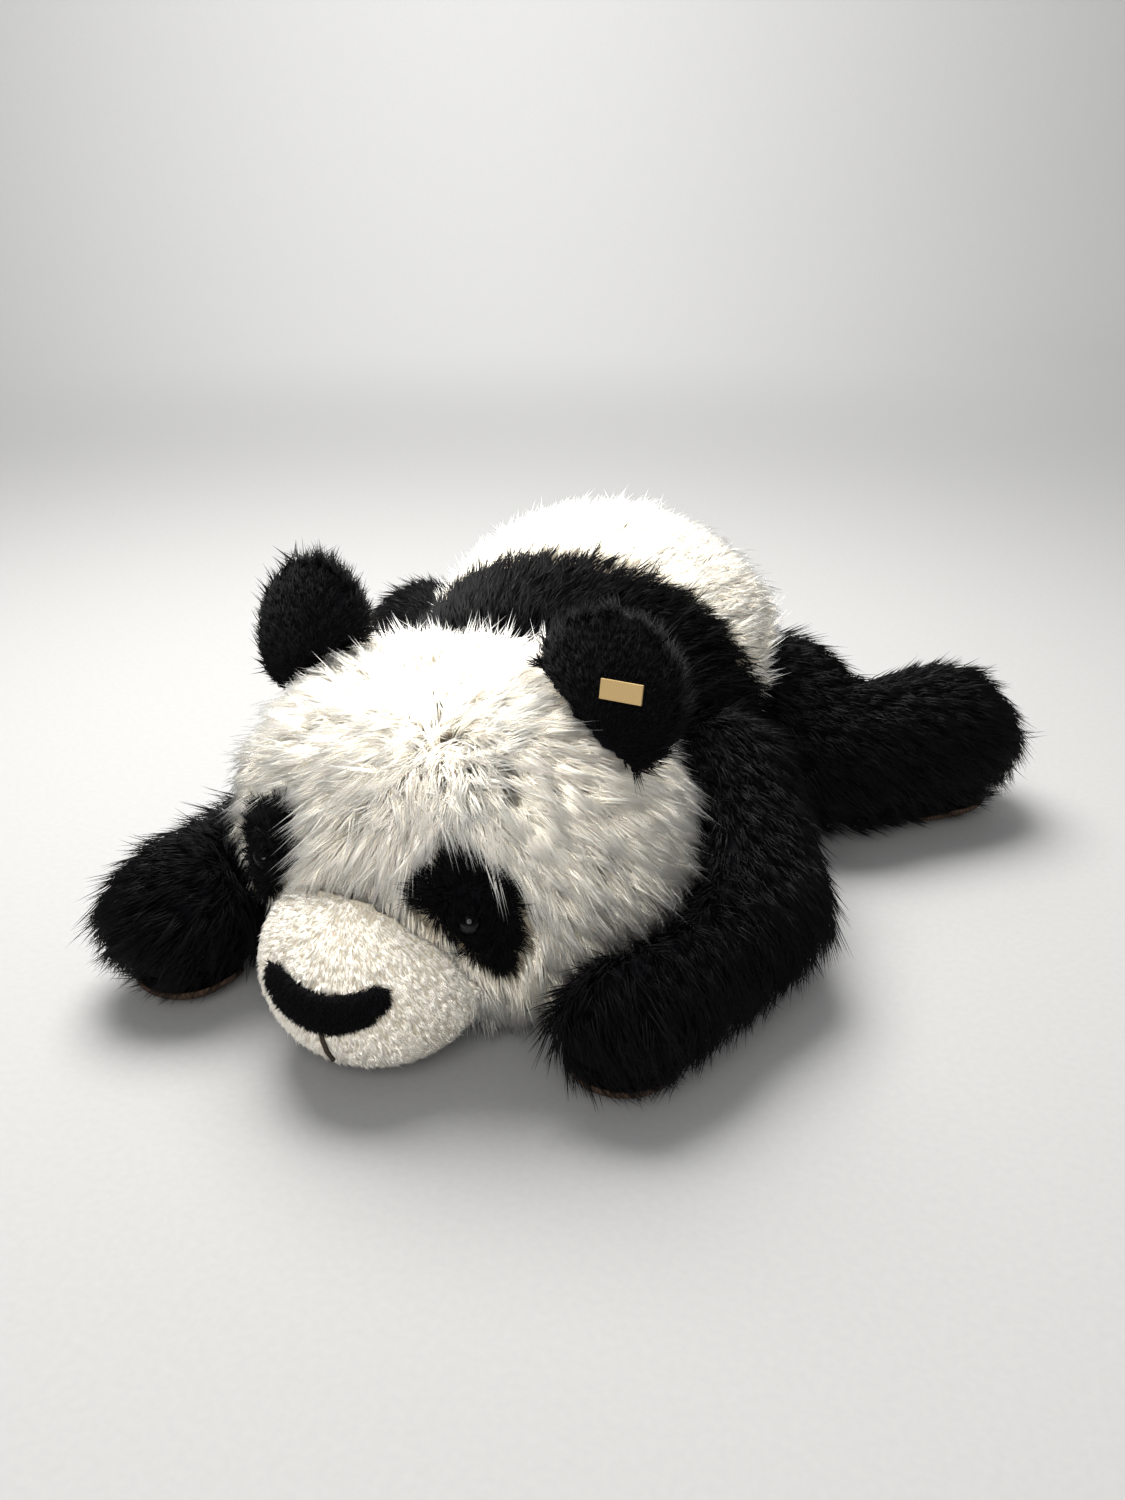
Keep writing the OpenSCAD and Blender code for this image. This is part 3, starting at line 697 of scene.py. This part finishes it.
muzzle_wanted = clear_of(inside=[(skull_hull, 0.004)], near=[(nose_tree, 0.0018)])
muzzle_cloth = panel("muzzle_cloth", muzzle_bag, cream_backing)
muzzle_coat = pile("muzzle_pile", muzzle_cloth, cream_pile, 31, 12800, 2, 0.006, over_muzzle,
                   muzzle_wanted, stand=0.35, width=0.0009, spread=0.0012, gather=0.2, stray=0.08)
fitted(thickened(muzzle_cloth), "head", ["muzzle_cover"])
fitted(muzzle_coat, "head")
fitted(stuffing("muzzle_stuffing", muzzle_bag, fibre), "head", ["muzzle_filling"])

# ---- Nose and mouth --------------------------------------------------------------------------
# The nose is a curved patch of black velvet, sewn on. Under it a dark thread pulls the lip in.

# The darker root colour is painted shade deep in the pile.
black_velvet = acrylic_pile("black_acrylic_velvet", "#020203", "#040406", "#08080c", 0.7, 0.0, 0.6)
nose_form.data.materials.append(black_backing)
nose_coat = pile("nose_pile", nose_form, black_velvet, 33, 1400, 3, 0.003, over_muzzle,
                 clear_of(inside=[(muzzle_tree, 0.0005)]), stand=0.8, width=0.0005, spread=0.0012,
                 gather=0.2, stray=0.2)
fitted(nose_form, "head", ["nose_patch"])
fitted(nose_coat, "head")

# Twisted cotton thread: dull brown-black, with a twist every millimetre.
thread, thread_shader = new_material("twisted_cotton_thread", 0.85, 0.2)
thread_place = add_node(thread, "ShaderNodeTexCoord")
thread_twist = add_node(thread, "ShaderNodeTexWave", [(thread_place.outputs["Object"], "Vector")],
                        [("Scale", 300.0)], bands_direction="DIAGONAL")
two_tones(thread, thread_shader, thread_twist, "Fac", "#2a231d", "#4d4238")
lip = joined_copy("mouth_thread", ["mouth_stitch"])
lip.data.materials.append(thread)
THREAD_SUNK = 0.0030          # the thread is pulled this far into the pile
places, _, _ = mesh_arrays(lip)
move_points(lip, places + unit(np.array(muzzle_at) - places) * THREAD_SUNK)
fitted(lip, "head", ["mouth_stitch"])

# ---- Eyes ------------------------------------------------------------------------------------
# Each eye is a polished black plastic ball on a stem, held by a washer behind the cloth.
# It sits in a patch of short black pile.

# Polished acrylic: black and mirror-smooth, with slight handling haze.
glass, glass_shader = new_material("polished_acrylic", 0.06, 0.3)
glass_shader.inputs["Base Color"].default_value = linear("#050506")
glass_place = add_node(glass, "ShaderNodeTexCoord")
glass_haze = add_node(glass, "ShaderNodeTexNoise", [(glass_place.outputs["Object"], "Vector")],
                      [("Scale", 400.0)])
glass_rough = add_node(glass, "ShaderNodeMapRange", [(glass_haze.outputs["Fac"], "Value")],
                       [("To Min", 0.04), ("To Max", 0.12)])
glass.node_tree.links.new(glass_rough.outputs["Result"], glass_shader.inputs["Roughness"])

# Moulded nylon: milky white with a fine mottle and half a shine.
nylon, nylon_shader = new_material("moulded_nylon", 0.5, 0.4)
nylon_place = add_node(nylon, "ShaderNodeTexCoord")
nylon_grain = add_node(nylon, "ShaderNodeTexNoise", [(nylon_place.outputs["Object"], "Vector")],
                       [("Scale", 900.0)])
two_tones(nylon, nylon_shader, nylon_grain, "Fac", "#e6e6e2", "#f2f2ef")
for side in SIDES:
    for node, material in ((f"eye_{side}", glass), (f"eye_washer_{side}", nylon)):
        frame["nodes"][node].data.materials.clear()
        frame["nodes"][node].data.materials.append(material)
    cloth = patch_forms[side]
    cloth.data.materials.append(black_backing)
    eye_tree = tree_of(frame["nodes"][f"eye_{side}"])

    def over_patch(places, middle=np.array(eyes[side])):
        """The nap runs down over the eye, and outward at the patch's edge."""
        out = places - middle
        edge = np.clip(np.linalg.norm(out, axis=1, keepdims=True) / 0.010 - 1, 0, 1)
        return unit(out) * (edge * 1.2 - 0.9 * (1 - edge)) + from_whorl(places) * 0.2

    coat = pile(f"eye_patch_pile_{side}", cloth, black_velvet, 41 + SIDES[side], 1400, 4, 0.009,
                over_patch, clear_of(inside=[(skull_hull, 0.0005)], near=[(eye_tree, 0.0002)]),
                stand=0.6, width=0.0005, spread=0.0014, gather=0.3, stray=0.2)
    fitted(cloth, "head", [f"eye_patch_{side}"])
    fitted(coat, "head")

# ---- Ears ------------------------------------------------------------------------------------
# Each ear is two rounds of cloth sewn edge to edge: short black velvet in front, and longer pile
# behind that shows as a fringe round the rim. A folded end of plain cotton tape hangs in the left.

EAR_LEAN = math.radians(12)   # how far the ears lean back
EAR_SPLAY = math.radians(3)   # and outward
for side, sign in SIDES.items():
    root = joint_place[f"ear_{side}_fold"]
    yaw = math.atan2(head_across.y, head_across.x)
    turned = Euler((-EAR_LEAN, 0, sign * EAR_SPLAY + yaw)).to_matrix()
    facing = turned @ Vector((0, -1, 0))
    bag = form(f"ear_bag_{side}", [f"ear_front_{side}", f"ear_back_{side}"], 0.003, voxel=0.004, rounds=6,
               swell=0.002)

    def up_ear(places, root=root, facing=facing):
        """Brushed from the ear's root to its rim, and a little backward."""
        return unit(places - np.array(root)) + np.array(facing) * -0.3

    ear_wanted = clear_of(inside=[(skull_hull, 0.004)])
    front = panel(f"ear_front_cloth_{side}", bag, black_backing, [(root, -facing)])
    back = panel(f"ear_back_cloth_{side}", bag, black_backing, [(root, facing)])
    front_coat = pile(f"ear_front_pile_{side}", front, black_velvet, 51 + sign, 2100, 3, 0.005, up_ear,
                      ear_wanted, stand=0.6, width=0.0006, spread=0.0015, gather=0.3, stray=0.2)
    back_coat = pile(f"ear_back_pile_{side}", back, black_pile, 54 + sign, 1250, 5, 0.012, up_ear,
                     ear_wanted, stand=0.5, width=0.0007, spread=0.003, stray=0.2)
    fitted(thickened(front), f"ear_{side}", [f"ear_front_{side}"])
    fitted(thickened(back), f"ear_{side}", [f"ear_back_{side}"])
    fitted(front_coat, f"ear_{side}")
    fitted(back_coat, f"ear_{side}")
    bpy.data.objects.remove(bag)

# Woven cotton tape: undyed and dull, in a plain weave of 0.6 mm, coarser than a real one.
tape, tape_shader = new_material("woven_cotton_tape", 0.85, 0.15)
tape_place = add_node(tape, "ShaderNodeTexCoord")
tape_weave = add_node(tape, "ShaderNodeTexChecker", [(tape_place.outputs["Object"], "Vector")],
                      [("Scale", 1600.0)])
tape_weave.inputs["Color1"].default_value = linear("#c8ac7c")
tape_weave.inputs["Color2"].default_value = linear("#b89a68")
tape.node_tree.links.new(tape_weave.outputs["Color"], tape_shader.inputs["Base Color"])
tag = frame["nodes"]["ear_tag"]
tag.data.materials.clear()
tag.data.materials.append(tape)

# ---- Legs ------------------------------------------------------------------------------------
# Each leg is a top and an under panel of long black pile, with a small bare pad of brushed cloth
# sewn into the sole. The shoulders and hips sit in hollows of the trunk.

pad_cloth = knit_backing("brushed_brown_knit", "#3a2e25", "#56463a")
LEG_DOWN = 0.35               # how strongly a leg's pile is brushed down


def down_leg(joint, tip, side, outward):
    """Brushed from the joint to the tip, and out and down from the top of the leg."""
    way = np.array((tip - joint).normalized()) * 0.8 + np.array([side * outward, 0, -LEG_DOWN])

    def comb(places):
        return np.broadcast_to(way, places.shape)
    return comb


legs = []
for side, sign in SIDES.items():
    legs.append((f"foreleg_{side}", f"foreleg_{side}_swing", foreleg_bags[side], FORELEGS[side],
                 f"paw_pad_{side}", sign, 0.75, 61 + 2 * sign))
    legs.append((f"hind_leg_{side}", f"hind_leg_{side}_lift", hind_leg_bags[side], HIND_LEGS[side],
                 f"foot_pad_{side}", sign, 0.4, 71 + 2 * sign))
for body, joint, bag, nodes, pad_node, sign, outward, seed in legs:
    pad_low, pad_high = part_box(pad_node)
    tip = (pad_low + pad_high) / 2
    filling, top_node, under_node, _ = nodes
    seam = Vector((0, 0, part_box(top_node)[0].z))
    comb = down_leg(joint_place[joint], tip, sign, outward)
    pad = form(pad_node + "_cloth", [pad_node], 0.001, voxel=0.0025, rounds=3, swell=0.0)
    pad.data.materials.append(pad_cloth)
    wanted = clear_of(inside=[(trunk_hull, 0.002), (skull_hull, 0.003)], near=[(tree_of(pad), 0.003)])
    top = panel(f"{body}_top_cloth", bag, black_backing, [(seam, (0, 0, -1))])
    under = panel(f"{body}_under_cloth", bag, black_backing, [(seam, (0, 0, 1))])
    top_coat = pile(f"{body}_top_pile", top, black_pile, seed, 2150, 6, 0.022, comb, wanted,
                    stand=0.4, spread=0.0042, width=0.0008)
    under_coat = pile(f"{body}_under_pile", under, black_pile, seed + 1, 600, 6, 0.018, comb, wanted,
                      stand=0.35, spread=0.0045)
    fitted(thickened(top), body, [top_node])
    fitted(thickened(under), body, [under_node])
    fitted(top_coat, body)
    fitted(under_coat, body)
    fitted(pad, body, [pad_node])
    fitted(stuffing(f"{body}_stuffing", bag, fibre), body, [filling])

# ---- Tail ------------------------------------------------------------------------------------
# A small stuffed bob of white pile, closed round its own fibre.
# It is sewn to the rump's rear seam by its open end.

tail_bag = form("tail_bag", ["tail_cover", "tail_filling"], 0.005, voxel=0.003, rounds=5, swell=0.001)
tail_root = joint_place["tail_lift"]


def down_tail(places):
    """Brushed from the tail's root to its tip, and backward and down."""
    return unit(places - np.array(tail_root)) + np.array([0, 0.5, -0.5])


tail_cloth = panel("tail_cloth", tail_bag, white_backing)
tail_coat = pile("tail_pile", tail_cloth, white_pile, 81, 500, 10, 0.02, down_tail,
                 clear_of(inside=[(trunk_hull, 0.002)]), stand=0.4)
fitted(thickened(tail_cloth), "tail", ["tail_cover"])
fitted(tail_coat, "tail")
fitted(stuffing("tail_stuffing", tail_bag, fibre), "tail", ["tail_filling"])

for bag in (trunk_bag, skull_bag, muzzle_bag, tail_bag, *foreleg_bags.values(), *hind_leg_bags.values()):
    bpy.data.objects.remove(bag)

bpy.context.view_layer.update()
